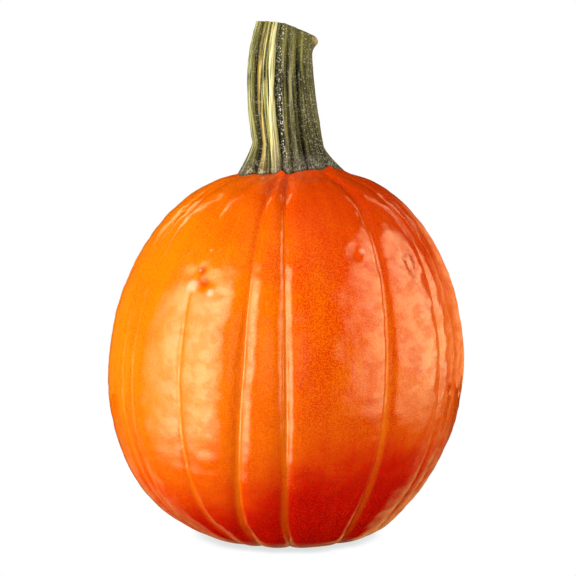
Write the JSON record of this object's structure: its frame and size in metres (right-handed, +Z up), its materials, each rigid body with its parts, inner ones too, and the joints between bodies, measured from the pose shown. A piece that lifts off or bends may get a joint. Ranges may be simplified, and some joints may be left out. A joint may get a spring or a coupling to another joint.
{
  "type": "pumpkin",
  "caption": "Whole ripe orange pumpkin, taller than wide, with shallow ribs, a flattened blossom end to stand on and a thick grooved stem cut at a slant.",
  "frame": {"origin": "on the surface that the pumpkin stands on, under the middle of its outline", "axes": "+Z up from the blossom end to the stem; -Y is the side that faces the camera in the picture; +X is to the right in the picture"},
  "size_m": [0.2199, 0.2194, 0.3131],
  "materials": {
    "rind": "waxy smooth vegetable rind, deep orange with fine red mottling and paler seams",
    "woody_stem": "dry corky stalk, matt, striped dark green, grey-brown and straw yellow"
  },
  "bodies": {
    "root": {"fruit": "rind", "stem": "woody_stem"}
  },
  "joints": []
}
